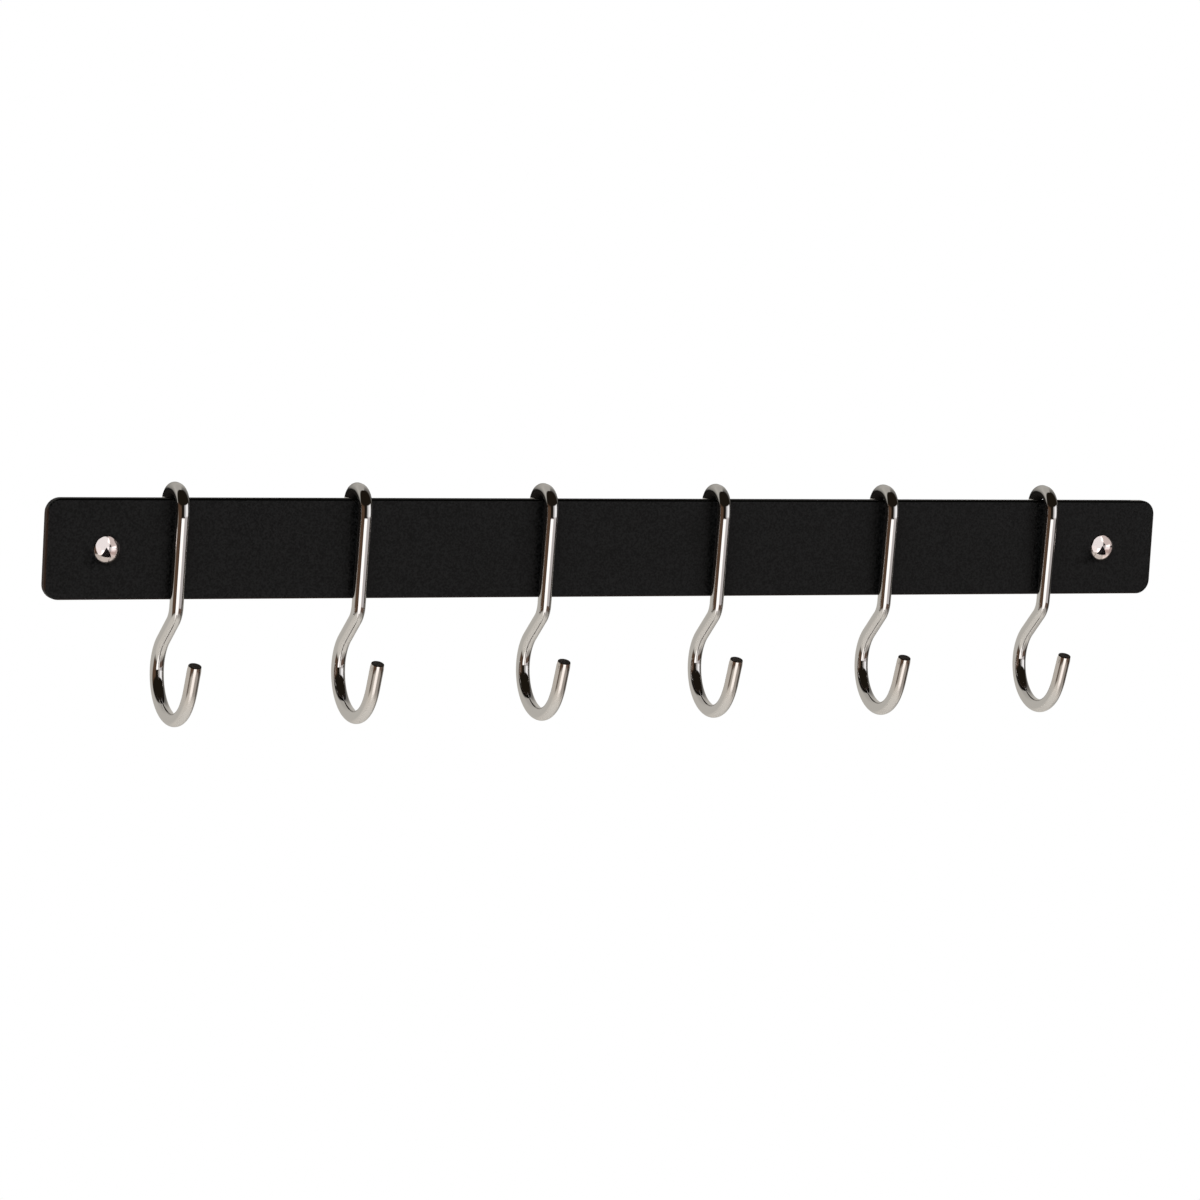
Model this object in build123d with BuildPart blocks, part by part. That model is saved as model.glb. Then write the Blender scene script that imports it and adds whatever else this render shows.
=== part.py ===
from build123d import *
import os
from math import cos, radians, sin, sqrt, tan

os.makedirs("parts", exist_ok=True)

# Wall rail: a flat steel bar on two stand-offs, with bent wire hooks hung over its top edge.
# Frame: origin on the wall midway between the screws, +X along the bar, +Y into the wall, +Z up.

# Bar
bar_length = 500.0
bar_height = 40.0
bar_thickness = 4.0
bar_corner_radius = 6.0
bar_edge_round = 0.8

# Stand-offs and wall screws
stand_off = 16.0
screw_inset = 25.0
spacer_diameter = 14.0
spacer_edge = 0.5
screw_diameter = 5.0
screw_thread_diameter = 4.5
screw_hole_gap = 0.3
screw_grip = 30.0
screw_point_length = 6.0
screw_point_diameter = 1.2
screw_head_diameter = 9.6
screw_head_angle = 90.0
screw_seat_gap = 0.05
drive_slot_width = 1.2
drive_slot_depth = 1.0

# Dome caps
cap_diameter = 11.0
cap_rim = 0.6
cap_height = 3.4
cap_stud_diameter = 3.0
cap_stud_length = 5.0
cap_stud_gap = 0.1
cap_stud_end_gap = 1.0

# Hooks, from the short leg behind the bar to the tip
wire_diameter = 5.6
wire_end_round = 0.25
hang_gap = 0.3
hang_angle = 3.1
back_leg = 12.0
loop_play = 5.6
loop_flat = 1.8
neck_drop = 2.4
neck_radius = 9.4
neck_turn = 42.7
neck_run = 12.3
bowl_radius = 17.4
bowl_turn = 193.0
tip_radius = 27.0
tip_turn = 15.2
tip_run = 10.7
hook_end_gap = 29.0
# How far each hook has been slid from even spacing and turned about its loop, left to right
hook_slides = (-0.1, -1.0, 2.2, 2.0, 2.0, 0.3)
hook_turns = (1.5, 0.9, 0.5, -0.5, -1.1, -0.9)

# Planes of the bar's two faces, and the screws' places along the bar
bar_back = -stand_off
bar_front = bar_back - bar_thickness
screw_place = bar_length / 2 - screw_inset
screw_hole_radius = screw_diameter / 2 + screw_hole_gap

# The bar: a rounded plate with both outlines softened, drilled and countersunk for the screws
with BuildPart() as rail_bar:
    with BuildSketch(Plane.XZ.offset(stand_off)):
        RectangleRounded(bar_length, bar_height, bar_corner_radius)
    extrude(amount=bar_thickness)
    fillet(rail_bar.faces().filter_by(Axis.Y).edges(), bar_edge_round)
    with Locations(Plane.XZ.offset(-bar_front)):
        with Locations((-screw_place, 0), (screw_place, 0)):
            CounterSinkHole(
                radius=screw_hole_radius,
                counter_sink_radius=screw_head_diameter / 2 + screw_seat_gap,
                counter_sink_angle=screw_head_angle,
            )
rail_bar.part.label = "rail_bar"
export_step(rail_bar.part, "parts/rail_bar.step")

# The fixings, alike at both ends: a stand-off tube, a screw through bar and tube, a cap on its head
for side, place in (("left", -screw_place), ("right", screw_place)):
    screw_axis = Axis((place, 0, 0), (0, 1, 0))
    section_plane = Plane(origin=(place, 0, 0), x_dir=(1, 0, 0), z_dir=(0, 0, 1))
    head_plane = Plane(origin=(place, bar_front, 0), x_dir=(1, 0, 0), z_dir=(0, -1, 0))

    with BuildPart() as spacer:
        with BuildSketch(Plane(origin=(place, 0, 0), x_dir=(1, 0, 0), z_dir=(0, -1, 0))):
            Circle(spacer_diameter / 2)
            Circle(screw_hole_radius, mode=Mode.SUBTRACT)
        extrude(amount=stand_off)
        outer_rims = spacer.edges().filter_by(GeomType.CIRCLE).group_by(SortBy.RADIUS)[-1]
        fillet(outer_rims, spacer_edge)
    spacer.part.label = f"spacer_{side}"
    export_step(spacer.part, f"parts/spacer_{side}.step")

    with BuildPart() as wall_screw:
        head_radius = screw_head_diameter / 2
        shank_radius = screw_diameter / 2
        head_depth = (head_radius - shank_radius) / tan(radians(screw_head_angle / 2))
        with BuildSketch(section_plane):
            with BuildLine():
                Polyline(
                    (0, bar_front),
                    (head_radius, bar_front),
                    (shank_radius, bar_front + head_depth),
                    (shank_radius, 0),
                    (screw_thread_diameter / 2, 0),
                    (screw_thread_diameter / 2, screw_grip - screw_point_length),
                    (screw_point_diameter / 2, screw_grip),
                    (0, screw_grip),
                    close=True,
                )
            make_face()
        revolve(axis=screw_axis)
        with BuildSketch(head_plane):
            Rectangle(screw_head_diameter, drive_slot_width)
        extrude(amount=-drive_slot_depth, mode=Mode.SUBTRACT)
        with Locations(head_plane):
            Hole(cap_stud_diameter / 2 + cap_stud_gap, depth=cap_stud_length + cap_stud_end_gap)
    wall_screw.part.label = f"wall_screw_{side}"
    export_step(wall_screw.part, f"parts/wall_screw_{side}.step")

    with BuildPart() as dome_cap:
        rim_corner = (cap_diameter / 2, bar_front - cap_rim)
        apex = (0, bar_front - cap_height)
        stud_radius = cap_stud_diameter / 2
        with BuildSketch(section_plane):
            with BuildLine():
                TangentArc(apex, rim_corner, tangent=(1, 0))
                Polyline(
                    rim_corner,
                    (cap_diameter / 2, bar_front),
                    (stud_radius, bar_front),
                    (stud_radius, bar_front + cap_stud_length),
                    (0, bar_front + cap_stud_length),
                    apex,
                )
            make_face()
        revolve(axis=screw_axis)
    dome_cap.part.label = f"dome_cap_{side}"
    export_step(dome_cap.part, f"parts/dome_cap_{side}.step")

# How a hook hangs. Its weight leans the front run back until the wire meets the bar's two front edges:
# the loop's front bend clears the upper one by the hang gap, and the run clears the lower one by the same.
wire_radius = wire_diameter / 2
lean = radians(hang_angle)
loop_inner_radius = (bar_thickness + loop_play - loop_flat) / 2
loop_radius = loop_inner_radius + wire_radius
run_offset = loop_flat / 2 + loop_radius
bend_reach = loop_inner_radius - hang_gap - bar_edge_round
edge_spread = bar_height - 2 * bar_edge_round
bend_drop = sqrt(bend_reach**2 - (bend_reach - edge_spread * sin(lean)) ** 2)
flat_rise = edge_spread * cos(lean) - bend_drop + loop_radius
flat_back = bend_reach + loop_flat / 2
loop_forward = flat_rise * sin(lean) - flat_back * cos(lean) - bar_edge_round
loop_top = flat_rise * cos(lean) + flat_back * sin(lean) - bar_height / 2 + bar_edge_round
neck_level = (loop_top + bar_height / 2 + neck_drop) / cos(lean) - run_offset * tan(lean)

# The hooks: one wire each, bent up behind the bar, over it, down its front, back under it and round
# into a bowl that opens forward
first_hook = -screw_place + hook_end_gap
hook_pitch = -2 * first_hook / (len(hook_slides) - 1)
for index, slide in enumerate(hook_slides):
    hook_place = first_hook + index * hook_pitch + slide
    turn = radians(hook_turns[index])
    hook_plane = Plane(
        origin=(hook_place, bar_front - loop_forward, loop_top),
        x_dir=(sin(turn) * cos(lean), -cos(turn) * cos(lean), -sin(lean)),
        z_dir=(-cos(turn), -sin(turn), 0),
    )
    with BuildPart() as hook:
        with BuildLine(hook_plane) as wire:
            leg = Line((-run_offset, -loop_radius - back_leg), (-run_offset, -loop_radius))
            rear_bend = JernArc(leg @ 1, leg % 1, loop_radius, -90)
            flat = Line(rear_bend @ 1, (loop_flat / 2, 0))
            front_bend = JernArc(flat @ 1, flat % 1, loop_radius, -90)
            run = Line(front_bend @ 1, (run_offset, -neck_level))
            neck = JernArc(run @ 1, run % 1, neck_radius, -neck_turn)
            slope = PolarLine(neck @ 1, neck_run, direction=neck % 1)
            bowl = JernArc(slope @ 1, slope % 1, bowl_radius, bowl_turn)
            flare = JernArc(bowl @ 1, bowl % 1, tip_radius, tip_turn)
            tip = PolarLine(flare @ 1, tip_run, direction=flare % 1)
        with BuildSketch(Plane(wire.line @ 0, z_dir=wire.line % 0)):
            Circle(wire_radius)
        sweep(path=wire.line)
        fillet(hook.faces().filter_by(GeomType.PLANE).edges(), wire_end_round)
    hook.part.label = f"hook_{index + 1}"
    export_step(hook.part, f"parts/hook_{index + 1}.step")
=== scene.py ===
from math import cos, pi, radians, sin

import bmesh
import bpy
from mathutils import Matrix, Vector


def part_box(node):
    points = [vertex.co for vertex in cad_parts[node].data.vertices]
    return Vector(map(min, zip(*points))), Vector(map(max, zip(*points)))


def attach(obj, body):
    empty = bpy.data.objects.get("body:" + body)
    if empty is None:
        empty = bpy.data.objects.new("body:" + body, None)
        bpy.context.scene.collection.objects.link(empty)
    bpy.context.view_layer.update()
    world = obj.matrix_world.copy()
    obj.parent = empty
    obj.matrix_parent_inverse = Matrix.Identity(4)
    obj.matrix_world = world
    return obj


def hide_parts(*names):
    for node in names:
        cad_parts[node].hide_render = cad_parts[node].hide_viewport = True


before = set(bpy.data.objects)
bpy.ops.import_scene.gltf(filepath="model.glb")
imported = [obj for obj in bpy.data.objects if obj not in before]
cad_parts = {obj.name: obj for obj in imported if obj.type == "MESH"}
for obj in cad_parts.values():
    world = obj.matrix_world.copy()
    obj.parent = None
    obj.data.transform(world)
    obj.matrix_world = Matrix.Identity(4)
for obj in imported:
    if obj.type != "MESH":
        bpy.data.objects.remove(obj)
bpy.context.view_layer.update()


# The bar: flat steel strip with rounded corners and softened edges, drilled for two screws.
# It is blasted and powder coated matt black, which leaves a fine grain with a faint orange peel.
class Shade:
    """One output of a node tree. Arithmetic on it adds Math nodes."""

    def __init__(self, tree, socket=None):
        self.tree = tree
        self.socket = socket

    def node(self, kind, settings=None, sockets=None, output=0):
        """Adds a node with these settings, fills or links its sockets, and gives one of its outputs."""
        made = self.tree.nodes.new(kind)
        for name, value in (settings or {}).items():
            setattr(made, name, value)
        for name, value in (sockets or {}).items():
            if isinstance(value, Shade):
                self.tree.links.new(value.socket, made.inputs[name])
            else:
                made.inputs[name].default_value = value
        return Shade(self.tree, made.outputs[output])

    def math(self, operation, first, second=0.0):
        return self.node("ShaderNodeMath", {"operation": operation}, {0: first, 1: second})

    def __add__(self, other):
        return self.math("ADD", self, other)

    __radd__ = __add__

    def __sub__(self, other):
        return self.math("SUBTRACT", self, other)

    def __rsub__(self, other):
        return self.math("SUBTRACT", other, self)

    def __mul__(self, other):
        return self.math("MULTIPLY", self, other)

    __rmul__ = __mul__

    def part(self, axis):
        """One of the three coordinates of this place."""
        return self.node("ShaderNodeSeparateXYZ", None, {0: self}, axis)

    def ramp(self, low, high):
        """0 up to low and 1 from high on, with a smooth step between."""
        reach = {"Value": self, "From Min": low, "From Max": high}
        return self.node("ShaderNodeMapRange", {"interpolation_type": "SMOOTHSTEP"}, reach)

    def mix(self, first, second):
        """The first colour where this value is 0, the second where it is 1."""
        return self.node("ShaderNodeMix", {"data_type": "RGBA"}, {0: self, 6: first, 7: second}, 2)

    def noise(self, size, detail=2.0, stretch=(1, 1, 1)):
        """Noise over this place, in grains of about that size, longer where stretch is under 1."""
        scale = [share / size for share in stretch]
        scaled = self.node("ShaderNodeVectorMath", {"operation": "MULTIPLY"}, {0: self, 1: scale})
        return self.node("ShaderNodeTexNoise", None, {"Vector": scaled, "Scale": 1.0, "Detail": detail})

    def feeds(self, shader, name):
        self.tree.links.new(self.socket, shader.inputs[name])

    def bumps(self, shader, depth):
        """This height, from 0 to 1, raises the shader's surface by up to that depth in metres."""
        relief = {"Strength": 1.0, "Distance": depth, "Height": self}
        self.node("ShaderNodeBump", None, relief).feeds(shader, "Normal")


def finish(name):
    """A new material, its shader and a start for its expressions."""
    material = bpy.data.materials.new(name)
    material.use_nodes = True
    return material, material.node_tree.nodes["Principled BSDF"], Shade(material.node_tree)


mm = 0.001
coat_pit = (0.0004, 0.0005, 0.0006, 1)
coat_crest = (0.0078, 0.0081, 0.0083, 1)
# The near-black painted shade along the bar's upper edge
top_edge_shade = (0.0003, 0.0003, 0.0002, 1)
brown_steel = (0.038, 0.019, 0.012, 1)
coat_relief = 0.14 * mm
bar_low, bar_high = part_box("rail_bar")

powder_coat, shader, start = finish("powder_coat")
place = start.node("ShaderNodeTexCoord", output="Object")
along = place.part(0)
upright = place.part(2)
grain = place.noise(0.7 * mm, 3.0)
peel = place.noise(2.4 * mm, 2.0)
cloud = place.noise(40 * mm, 3.0)
coat = grain.ramp(0.35, 0.65).mix(coat_pit, coat_crest)
# Painted shade: the coat's colour is painted a deeper black along the upper edge, which is also smoother
# there
upper = upright.ramp(bar_high.z - 1.1 * mm, bar_high.z - 0.5 * mm)
coat = upper.mix(coat, top_edge_shade)
# It is thin on the ends and the lower edge, where the brown steel shows through
inner = 1 - start.math("ABSOLUTE", along).ramp(bar_high.x - 0.9 * mm, bar_high.x - 0.1 * mm)
thin = 1 - inner * upright.ramp(bar_low.z + 0.1 * mm, bar_low.z + 0.7 * mm)
(thin * (0.5 + 0.5 * peel)).mix(coat, brown_steel).feeds(shader, "Base Color")
(0.31 + 0.14 * grain + 0.05 * cloud + 0.15 * thin - 0.2 * upper).feeds(shader, "Roughness")
((0.6 * grain + 0.4 * peel) * (1 - 0.8 * upper)).bumps(shader, coat_relief)
shader.inputs["Specular IOR Level"].default_value = 0.21
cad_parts["rail_bar"].data.materials.clear()
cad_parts["rail_bar"].data.materials.append(powder_coat)

# The stand-offs: two short tubes turned from steel bar and zinc plated, with broken outer edges.
# Each is clamped between the bar and the wall by the screw that runs through it.
zinc_dull = (0.56, 0.56, 0.55, 1)
zinc_bright = (0.67, 0.665, 0.65, 1)
turning_relief = 0.02 * mm

plated_steel, shader, start = finish("plated_steel")
place = start.node("ShaderNodeTexCoord", output="Object")
turning = place.noise(0.22 * mm, 2.0, (0.02, 1, 0.02))
bloom = place.noise(5 * mm, 4.0)
bloom.ramp(0.35, 0.7).mix(zinc_dull, zinc_bright).feeds(shader, "Base Color")
(0.26 + 0.10 * turning + 0.14 * bloom).feeds(shader, "Roughness")
turning.bumps(shader, turning_relief)
shader.inputs["Metallic"].default_value = 0.7
for side in ("left", "right"):
    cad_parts[f"spacer_{side}"].data.materials.clear()
    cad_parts[f"spacer_{side}"].data.materials.append(plated_steel)

# The wall screws: countersunk steel screws with a plain shank and a rolled thread, zinc plated.
# Each head is slotted, and drilled and tapped for the stud of its cap. It sits flush in the bar.
head_radius = 4.8 * mm
shank_radius = 2.5 * mm
shank_end = -0.8 * mm
thread_radius = 2.25 * mm
core_radius = 1.7 * mm
point_radius = 0.6 * mm
point_length = 6 * mm
tapped_radius = 1.6 * mm
tapped_depth = 6 * mm
slot_width = 1.2 * mm
slot_depth = 1.0 * mm
thread_pitch = 2.2 * mm
thread_rise = 3 * mm
thread_step = 0.11 * mm
# The ridge's half width as a share of the pitch, and the share of the point over which it dies out
ridge_share = 0.24
ridge_fade = 0.35
screw_sides = 40
# A turned piece is closed at its axis by a ring of this radius
axis_radius = 0.02 * mm
sharp_turn = radians(40)
head_face = bar_low.y
screw_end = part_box("wall_screw_left")[1].y


def piece_from(name, points, faces, material):
    """A smooth piece with these points and faces. Edges that turn by more than the sharp turn stay sharp."""
    mesh = bpy.data.meshes.new(name)
    mesh.from_pydata(points, [], faces)
    shape = bmesh.new()
    shape.from_mesh(mesh)
    bmesh.ops.recalc_face_normals(shape, faces=shape.faces)
    shape.to_mesh(mesh)
    shape.free()
    mesh.shade_smooth()
    mesh.set_sharp_from_angle(angle=sharp_turn)
    mesh.materials.append(material)
    piece = bpy.data.objects.new(name, mesh)
    bpy.context.scene.collection.objects.link(piece)
    return piece


def skin(rows):
    """Points and faces of a closed skin through rings of points, with the first and last ring filled in."""
    count = len(rows[0])
    last = count * (len(rows) - 1)
    faces = [
        (a + k, a + (k + 1) % count, a + count + (k + 1) % count, a + count + k)
        for a in range(0, last, count)
        for k in range(count)
    ]
    faces += [tuple(range(count - 1, -1, -1)), tuple(range(last, last + count))]
    return [point for row in rows for point in row], faces


def ring(middle, depth, radii):
    """A ring of points about a screw's axis, with these radii at even turns."""
    turns = [2 * pi * k / len(radii) for k in range(len(radii))]
    return [(middle + r * sin(t), depth, r * cos(t)) for t, r in zip(turns, radii)]


def thread_radii(depth):
    """The threaded end's radii at that depth: a narrow ridge on the core, fading in and out at its ends."""
    taper = min(1, max(0, (screw_end - depth) / point_length))
    core = point_radius + (core_radius - point_radius) * taper
    height = (thread_radius - core_radius) * min(1, depth / thread_rise) * min(1, taper / ridge_fade)
    radii = []
    for k in range(screw_sides):
        off_crest = abs((depth / thread_pitch - k / screw_sides) % 1 - 0.5)
        radii.append(core + height * max(0, 1 - off_crest / ridge_share))
    return radii


def cut_slot(screw, middle):
    """Cuts the driver's slot across the screw's head."""
    half = slot_width / 2
    corners = ((-head_radius, -half), (head_radius, -half), (head_radius, half), (-head_radius, half))
    rows = [[(middle + x, head_face + y, z) for x, z in corners] for y in (-slot_depth, slot_depth)]
    blade = piece_from("blade", *skin(rows), plated_steel)
    cut = screw.modifiers.new("slot", "BOOLEAN")
    cut.object = blade
    cut_screw = screw.evaluated_get(bpy.context.evaluated_depsgraph_get())
    screw.data = bpy.data.meshes.new_from_object(cut_screw)
    screw.data.set_sharp_from_angle(angle=sharp_turn)
    screw.modifiers.clear()
    bpy.data.objects.remove(blade)


for side in ("left", "right"):
    low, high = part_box(f"wall_screw_{side}")
    middle = (low.x + high.x) / 2
    outline = (
        (axis_radius, head_face + tapped_depth),
        (tapped_radius, head_face + tapped_depth),
        (tapped_radius, head_face),
        (head_radius, head_face),
        (shank_radius, head_face + head_radius - shank_radius),
        (shank_radius, shank_end),
    )
    rows = [ring(middle, depth, [radius] * screw_sides) for radius, depth in outline]
    steps = int(screw_end / thread_step)
    for step in range(steps + 1):
        depth = screw_end * step / steps
        rows.append(ring(middle, depth, thread_radii(depth)))
    screw = piece_from(f"threaded_screw_{side}", *skin(rows), plated_steel)
    cut_slot(screw, middle)
    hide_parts(f"wall_screw_{side}")
    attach(screw, "rail")

# The dome caps: turned brass buttons, polished and chrome plated, that hide the screw heads.
# Each has a short rim under its dome and a stud behind that screws into the head of the wall screw.
cap_radius = 5.5 * mm
cap_rim = 0.6 * mm
cap_height = 3.4 * mm
cap_edge = 0.16 * mm
cap_sides = 96
dome_rings = 40
stud_radius = 1.5 * mm
stud_length = 5 * mm
dome_rise = cap_height - cap_rim
dome_radius = (cap_radius**2 + dome_rise**2) / (2 * dome_rise)
cap_chrome_dark = (0.79, 0.71, 0.695, 1)
cap_chrome_light = (0.85, 0.775, 0.76, 1)
cap_relief = 0.03 * mm

chrome, shader, start = finish("chrome_plate")
place = start.node("ShaderNodeTexCoord", output="Object")
haze = place.noise(9 * mm, 3.0)
swirl = place.noise(0.35 * mm, 2.0)
haze.mix(cap_chrome_dark, cap_chrome_light).feeds(shader, "Base Color")
(0.07 + 0.05 * haze + 0.03 * swirl).feeds(shader, "Roughness")
haze.bumps(shader, cap_relief)
shader.inputs["Metallic"].default_value = 1.0

cap_group = bpy.data.collections.new("caps")
for side in ("left", "right"):
    low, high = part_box(f"dome_cap_{side}")
    middle = (low.x + high.x) / 2
    profile = []
    for step in range(1, dome_rings + 1):
        radius = (cap_radius - cap_edge) * step / dome_rings
        fall = dome_radius - (dome_radius**2 - radius**2) ** 0.5
        profile.append((radius, low.y + fall))
    # The rim's broken edge, the rim, the flat back and the stud
    profile += [
        (cap_radius - 0.3 * cap_edge, head_face - cap_rim - 0.1 * cap_edge),
        (cap_radius, head_face - cap_rim + 0.6 * cap_edge),
        (cap_radius, head_face),
        (stud_radius, head_face),
        (stud_radius, head_face + stud_length),
        (axis_radius, head_face + stud_length),
    ]
    rows = [ring(middle, depth, [radius] * cap_sides) for radius, depth in profile]
    cap = piece_from(f"polished_cap_{side}", *skin(rows), chrome)
    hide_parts(f"dome_cap_{side}")
    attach(cap, "rail")
    cap_group.objects.link(cap)

# The hooks: one length of drawn steel wire each, bent cold on pins, sheared at both ends, chrome plated.
# The loop hangs loose over the bar's top edge, and the run rests near its lower front edge, so that a
# hook slides along the bar.
wire_radius = 2.8 * mm
wire_sides = 72
end_round = 0.25 * mm
end_taper = 0.18 * mm
taper_length = 1.9 * mm
back_leg = 12 * mm
loop_radius = 6.7 * mm
loop_flat = 1.4 * mm
ease_radius = 25 * mm
ease_turn = 12
run_length = 34.83 * mm
neck_radius = 9.4 * mm
neck_turn = 42.7
neck_run = 12.3 * mm
bowl_radius = 17.4 * mm
bowl_turn = 193
tip_radius = 27 * mm
tip_turn = 15.2
tip_run = 10.7 * mm
lean = radians(3.1)
# How far each hook is turned about its loop, in degrees, left to right
hook_turns = (1.5, 0.9, 0.5, -0.5, -1.1, -0.9)
# The longest steps between rings of points, in metres on a straight and in degrees round a bend
straight_step = 2 * mm
bend_step = 1.5


def bent(radius, turn):
    """A bent stretch of the wire, as its length and turn."""
    return radius * radians(abs(turn)), turn


# From the leg behind the bar, over it and down its front, to the bowl and the tip
stretches = (
    (back_leg, 0),
    bent(loop_radius, -90),
    (loop_flat, 0),
    bent(loop_radius, ease_turn - 90),
    bent(ease_radius, -ease_turn),
    (run_length, 0),
    bent(neck_radius, -neck_turn),
    (neck_run, 0),
    bent(bowl_radius, bowl_turn),
    bent(tip_radius, tip_turn),
    (tip_run - taper_length, 0),
    (taper_length, 0),
)


def wire_line():
    """The wire's middle line as (forward, up, heading, length so far), from the leg's end to the tip."""
    spot = Vector((0, 0))
    heading = pi / 2 - lean
    length = 0
    line = [(*spot, heading, length)]
    for reach, turn in stretches:
        steps = max(round(reach / straight_step), round(abs(turn) / bend_step))
        step = radians(turn) / steps
        for _ in range(steps):
            spot = spot + reach / steps * Vector((cos(heading + step / 2), sin(heading + step / 2)))
            heading += step
            length += reach / steps
            line.append((*spot, heading, length))
    return line


# Each station is a spot on the middle line, an offset along the heading from it, and the wire's radius
line = wire_line()
rounding = [radians(turn) for turn in (0, 22.5, 45, 67.5, 90)]
face_shares = (0.3, 0.65, 0.97)
leg_reach = wire_radius - end_round
tip_reach = leg_reach - end_taper
stations = [(line[0], 0, leg_reach * share) for share in face_shares]
stations += [(line[0], end_round * (1 - cos(t)), leg_reach + end_round * sin(t)) for t in rounding]
stations += [(spot, 0, wire_radius) for spot in line[1:-1]]
stations += [(line[-1], end_round * (cos(t) - 1), tip_reach + end_round * sin(t)) for t in rounding[::-1]]
stations += [(line[-1], 0, tip_reach * share) for share in reversed(face_shares)]
end_faces = (len(face_shares) + len(rounding) - 1) * wire_sides


def wire_rings():
    """Rings of points along the bent wire, each with its place on the straight wire it was bent from."""
    rows = []
    straight_rows = []
    for (forward, up, heading, length), offset, radius in stations:
        row = []
        straight_row = []
        for k in range(wire_sides):
            across = radius * sin(2 * pi * k / wire_sides)
            over = radius * cos(2 * pi * k / wire_sides)
            reach = forward + offset * cos(heading) - over * sin(heading)
            height = up + offset * sin(heading) + over * cos(heading)
            row.append(Vector((across, -reach, height)))
            straight_row.append((across, over, length + offset))
        rows.append(row)
        straight_rows.append(straight_row)
    return rows, straight_rows


plate_dark = (0.83, 0.82, 0.81, 1)
plate_light = (0.88, 0.87, 0.86, 1)
# A warm tint painted on the tips, a painted sheen
tip_sheen_tint = (0.90, 0.85, 0.81, 1)
plate_relief = 0.035 * mm
# Where the tip's dulling and its painted warm sheen start, and where they are full, along the wire
warm_tip_from = 147 * mm
warm_tip_to = 160 * mm
wire_chrome, shader, start = finish("chrome_wire")
place = start.node("ShaderNodeAttribute", {"attribute_name": "drawn"}, output="Vector")
drawing = place.noise(0.16 * mm, 2.0, (1, 1, 0.012))
haze = place.noise(11 * mm, 1.0, (1, 1, 0.6))
speck = place.noise(0.5 * mm, 2.0)
# The plate is duller towards the tip, and its colour there is painted warmer, a painted sheen
dull_tip_and_sheen = place.part(2).ramp(warm_tip_from, warm_tip_to)
dull_tip_and_sheen.mix(haze.mix(plate_dark, plate_light), tip_sheen_tint).feeds(shader, "Base Color")
dull = 0.018 + 0.03 * haze + 0.02 * drawing + 0.02 * speck.ramp(0.62, 0.8) + 0.08 * dull_tip_and_sheen
dull.feeds(shader, "Roughness")
haze.bumps(shader, plate_relief)
shader.inputs["Metallic"].default_value = 1.0

torn_dark = (0.035, 0.024, 0.019, 1)
torn_light = (0.15, 0.125, 0.11, 1)
torn_relief = 0.06 * mm
sheared_end, shader, start = finish("chrome_sheared_end")
place = start.node("ShaderNodeAttribute", {"attribute_name": "drawn"}, output="Vector")
tear = place.noise(0.3 * mm, 4.0, (1, 0.25, 1))
tear.ramp(0.35, 0.75).mix(torn_dark, torn_light).feeds(shader, "Base Color")
(0.26 + 0.22 * tear).feeds(shader, "Roughness")
tear.bumps(shader, torn_relief)
shader.inputs["Metallic"].default_value = 1.0

rows, straight_rows = wire_rings()
straight_values = [value for row in straight_rows for point in row for value in point]
for number, turn in enumerate(hook_turns, 1):
    spin = Matrix.Rotation(radians(turn), 3, "Z")
    turned = [[spin @ point for point in row] for row in rows]
    far_corner = Vector([max(point[axis] for row in turned for point in row) for axis in range(3)])
    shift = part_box(f"hook_{number}")[1] - far_corner
    points, faces = skin([[point + shift for point in row] for row in turned])
    hook = piece_from(f"wire_hook_{number}", points, faces, wire_chrome)
    hook.data.materials.append(sheared_end)
    for face in (*range(end_faces), *range(len(faces) - 2 - end_faces, len(faces))):
        hook.data.polygons[face].material_index = 1
    drawn = hook.data.attributes.new("drawn", "FLOAT_VECTOR", "POINT")
    drawn.data.foreach_set("vector", straight_values)
    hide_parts(f"hook_{number}")
    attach(hook, f"hook_{number}")

# The camera: a long lens in front, to the rail's left and a little above it.
# It is tipped slightly, as the photograph was, so that the bar runs level across the picture.
view_turn = radians(25.8605)
view_fall = radians(7.6926)
view_roll = radians(3.3368)
view_distance = 2145.283 * mm
view_aim = Vector((-10.666 * mm, head_face, -21.261 * mm))
ahead = Vector((sin(view_turn) * cos(view_fall), cos(view_turn) * cos(view_fall), -sin(view_fall)))
level = Vector((cos(view_turn), -sin(view_turn), 0))
plumb = level.cross(ahead)
view_right = cos(view_roll) * level + sin(view_roll) * plumb
view_up = cos(view_roll) * plumb - sin(view_roll) * level
lens = bpy.data.cameras.new("camera")
lens.sensor_width = 36
lens.lens = 157.997
camera = bpy.data.objects.new("camera", lens)
bpy.context.scene.collection.objects.link(camera)
axes = Matrix((view_right, view_up, -ahead)).transposed().to_4x4()
camera.matrix_world = Matrix.Translation(view_aim - view_distance * ahead) @ axes
bpy.context.scene.camera = camera
bpy.context.scene.view_settings.view_transform = "Standard"

# The floor: a pale painted board well under the rail, which takes its shadow.
# It fades out to all sides, so that its edge never shows, and is clear from below.
floor_height = -0.6
floor_reach = 0.62
fade_from = 0.45 * floor_reach
fade_to = 0.98 * floor_reach
paint_dark = (0.69, 0.66, 0.615, 1)
paint_light = (0.74, 0.71, 0.665, 1)
paint_seen = (0.86, 0.855, 0.85, 1)


def studio_piece(name, points, faces, paint):
    """A piece of the studio, which isn't part of the rail."""
    mesh = bpy.data.meshes.new(name)
    mesh.from_pydata(points, [], faces)
    mesh.materials.append(paint)
    piece = bpy.data.objects.new(name, mesh)
    bpy.context.scene.collection.objects.link(piece)
    return piece


def show_where(mask, shader):
    """The painted surface shows where the mask is 1, and is clear where it is 0."""
    clear = mask.node("ShaderNodeBsdfTransparent")
    painted = Shade(mask.tree, shader.outputs["BSDF"])
    seen = mask.node("ShaderNodeMixShader", None, {0: mask, 1: clear, 2: painted})
    seen.feeds(mask.tree.nodes["Material Output"], "Surface")


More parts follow.
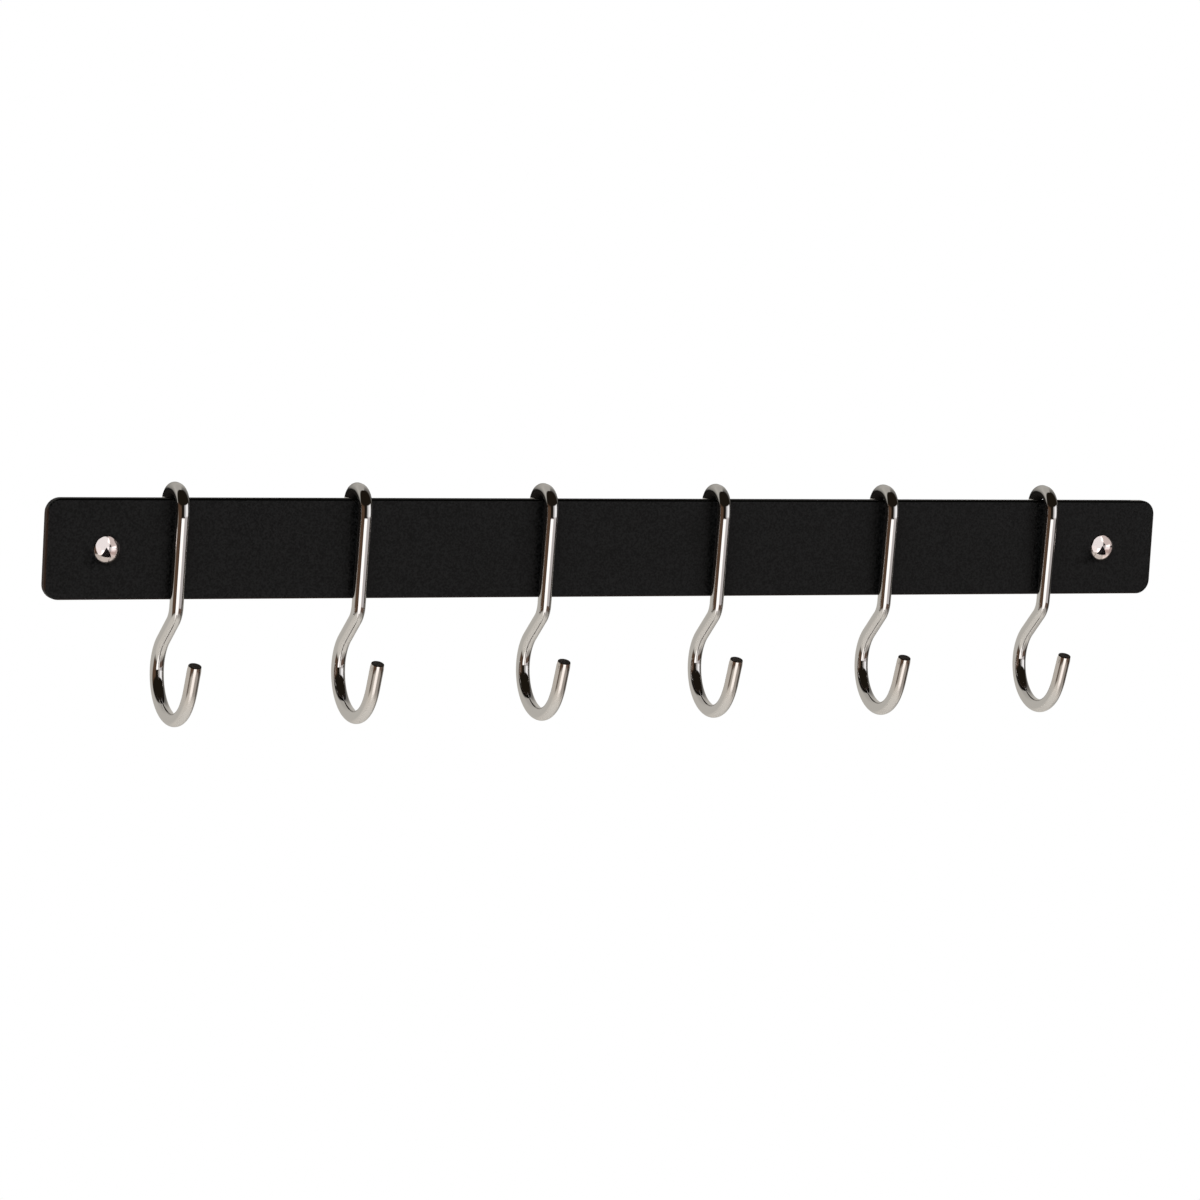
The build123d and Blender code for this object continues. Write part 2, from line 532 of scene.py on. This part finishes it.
floor_paint, shader, start = finish("floor_paint")
place = start.node("ShaderNodeTexCoord", output="Object")
camera_ray = start.node("ShaderNodeLightPath", output="Is Camera Ray")
paint = place.noise(8 * mm, 4.0).mix(paint_dark, paint_light)
camera_ray.mix(paint, paint_seen).feeds(shader, "Base Color")
shader.inputs["Roughness"].default_value = 0.8
spread = start.node("ShaderNodeVectorMath", {"operation": "MULTIPLY"}, {0: place, 1: (1, 1, 0)})
distance = start.node("ShaderNodeVectorMath", {"operation": "LENGTH"}, {0: spread}, "Value")
below = start.node("ShaderNodeNewGeometry", output="Backfacing")
show_where((1 - distance.ramp(fade_from, fade_to)) * (1 - below), shader)
floor_corners = ((-1, -1), (1, -1), (1, 1), (-1, 1))
floor_points = [(x * floor_reach, y * floor_reach, floor_height) for x, y in floor_corners]
studio_piece("studio_floor", floor_points, [(0, 1, 2, 3)], floor_paint)


# The lamps: three soft boxes light the rail and the floor, and aren't seen in the chrome.
# Three more are only for the caps, a white one on their left and two rosy ones on their right.
def soft_box(name, spot, width, height, watts):
    """A lamp with a soft rectangular face, turned to the rail. Its place and sizes are in metres."""
    lamp = bpy.data.lights.new(name, "AREA")
    lamp.shape = "RECTANGLE"
    lamp.size = width
    lamp.size_y = height
    lamp.energy = watts
    stand = bpy.data.objects.new(name, lamp)
    stand.location = spot
    stand.rotation_euler = (-Vector(spot)).to_track_quat("-Z", "Y").to_euler()
    bpy.context.scene.collection.objects.link(stand)
    return stand


soft_box("key_box", (-1.0, -1.0, 1.3), 0.9, 0.9, 30).visible_glossy = False
soft_box("fill_box", (1.3, -0.9, 0.9), 0.7, 0.7, 10).visible_glossy = False
soft_box("back_box", (0.3, 1.3, 1.2), 1.0, 0.6, 12).visible_glossy = False
cap_key = soft_box("cap_key_box", (-0.93, -1.54, 0.88), 3.9, 8.4, 99)
cap_high = soft_box("cap_high_box", (1.55, -0.22, 1.25), 4.4, 2.9, 26)
cap_low = soft_box("cap_low_box", (1.71, -0.30, -1.00), 4.8, 2.0, 12)
cap_high.data.color = (1.0, 0.90, 0.86)
cap_low.data.color = (1.0, 0.84, 0.80)
for stand in (cap_key, cap_high, cap_low):
    stand.light_linking.receiver_collection = cap_group

# The caps' flags: a small black card in front of each cap, which leaves a dark mark low in its dome.
# They are seen only by reflection.
flag_gap = 2 * mm
# A flag's corners, in mm to the right of the cap's middle and above it
flag_outline = ((-5.9, -6.9), (4.5, -6.9), (-1.3, 1.6))
flag_dark = (0.010, 0.006, 0.009, 1)
flag_light = (0.020, 0.011, 0.016, 1)


def black_paint(name, dark, light):
    """A dead black paint with a faint mottle, its shader, and the place of each point it covers."""
    paint, shader, start = finish(name)
    place = start.node("ShaderNodeTexCoord", output="Object")
    place.noise(3 * mm).mix(dark, light).feeds(shader, "Base Color")
    shader.inputs["Roughness"].default_value = 1.0
    shader.inputs["Specular IOR Level"].default_value = 0.0
    return paint, shader, place


def black_card(name, points, faces, paint):
    """A card of the studio that only reflections show."""
    card = studio_piece(name, points, faces, paint)
    card.visible_camera = False
    card.visible_diffuse = False
    card.visible_shadow = False


flag_paint, _, _ = black_paint("flag_paint", flag_dark, flag_light)
for side in ("left", "right"):
    low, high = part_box(f"dome_cap_{side}")
    middle = (low.x + high.x) / 2
    flag_points = [(middle + x * mm, low.y - flag_gap, z * mm) for x, z in flag_outline]
    black_card(f"flag_{side}", flag_points, [(0, 1, 2)], flag_paint)

# The gap between the bar and the wall: deep in shade on a wall, so the loops show it dark from above.
# A black card stands in for it, a shelf behind the bar's top edge and a lip that fades up the wall's place.
card_dark = (0.010, 0.009, 0.008, 1)
card_light = (0.014, 0.012, 0.011, 1)
# Its long edges, in mm from the wall's face, negative in front of it, and above the bar's middle
card_edges = ((-15.9, 19.5), (0.0, 19.5), (0.0, 42.0))
card_paint, shader, place = black_paint("card_paint", card_dark, card_light)
lip = place.part(2)
show_where(1 - (0.4 * lip.ramp(22.5 * mm, 26 * mm) + 0.6 * lip.ramp(20 * mm, 42 * mm)), shader)
card_points = [(x, y * mm, z * mm) for y, z in card_edges for x in (bar_low.x, bar_high.x)]
black_card("gap_card", card_points, [(0, 1, 3, 2), (2, 3, 5, 4)], card_paint)

# The room: what the chrome and the coat reflect. Behind the rail is a pale wall, and in front of it are
# a dark ceiling, a window to the right, its sheen down a table, and wooden furniture on both sides.
room = (0.012, 0.009, 0.006, 1)
wall = (0.49, 0.468, 0.43, 1)
high_wall = (0.41, 0.39, 0.36, 1)
dim_floor = (0.35, 0.325, 0.30, 1)
side_wall = (0.33, 0.315, 0.295, 1)
ground = (0.60, 0.565, 0.515, 1)
sideboard = (0.095, 0.056, 0.035, 1)
bench = (0.13, 0.086, 0.066, 1)
shelf = (0.49, 0.455, 0.45, 1)
window = (1.0, 0.98, 0.98, 1)
sheen = (1.3, 1.24, 1.21, 1)
backdrop = (1, 1, 1, 1)
degrees_per_radian = 180 / pi

world = bpy.data.worlds.new("studio")
world.use_nodes = True
bpy.context.scene.world = world
start = Shade(world.node_tree)
sight = start.node("ShaderNodeTexCoord", output="Generated")
# Bearing from straight in front of the rail, positive to its left, and height above the horizon, in degrees
bearing = start.math("ARCTAN2", 0 - sight.part(0), 0 - sight.part(1)) * degrees_per_radian
rise = start.math("ARCSINE", sight.part(2)) * degrees_per_radian


def panel(shade, colour, right, left, low, high, soft):
    """Adds a panel between two bearings and two heights, its edges soft by so many degrees each way."""
    inside = bearing.ramp(right - soft, right + soft) * (1 - bearing.ramp(left - soft, left + soft))
    inside = inside * rise.ramp(low - soft, low + soft) * (1 - rise.ramp(high - soft, high + soft))
    return inside.mix(shade, colour)


shade = rise.ramp(-40, -26).mix(ground, room)
shade = panel(shade, sideboard, 38, 100, -29, 8, 5)
shade = panel(shade, dim_floor, -78, -16, -54, -32, 6)
shade = panel(shade, bench, -72, -16, -31, -13, 5)
shade = panel(shade, shelf, -66, -18, -15, -6, 1.2)
# The window dims in two steps to its left, behind a curtain
curtain = 0.45 * (1 - bearing.ramp(-14, 2)) + 0.55 * (1 - bearing.ramp(-36, -22))
opening = bearing.ramp(-77, -67) * rise.ramp(-8.5, -5.5) * (1 - rise.ramp(10, 15))
shade = (curtain * opening).mix(shade, window)
table = bearing.ramp(-25, -8) * (1 - bearing.ramp(27, 34))
shade = (table * rise.ramp(-76, -22) * (1 - rise.ramp(-10.5, -8.5))).mix(shade, sheen)
# The wall behind the rail starts further round on the left above the horizon than below it
corner = bearing - 20 * rise.ramp(-16, 12)
behind = corner.ramp(82, 96) + (1 - bearing.ramp(-150, -112))
aside = (1 - bearing.ramp(-112, -84)) * bearing.ramp(-160, -140)
rear = rise.ramp(18, 55).mix(wall, high_wall)
shade = (0.5 * aside).mix(shade, side_wall)
shade = behind.mix(shade, (1 - rise.ramp(-45, -25)).mix(rear, ground))
# The white backdrop. At a glancing angle the metal shows it too
facing = start.node("ShaderNodeVectorMath", {"operation": "DOT_PRODUCT"}, {0: sight, 1: ahead}, "Value")
past = facing.ramp(cos(radians(11)), cos(radians(6)))
camera_ray = start.node("ShaderNodeLightPath", output="Is Camera Ray")
glossy_ray = start.node("ShaderNodeLightPath", output="Is Glossy Ray")
clear_ray = start.node("ShaderNodeLightPath", output="Is Transmission Ray")
shade = (camera_ray + (glossy_ray + clear_ray) * past).mix(shade, backdrop)
shade.feeds(world.node_tree.nodes["Background"], "Color")
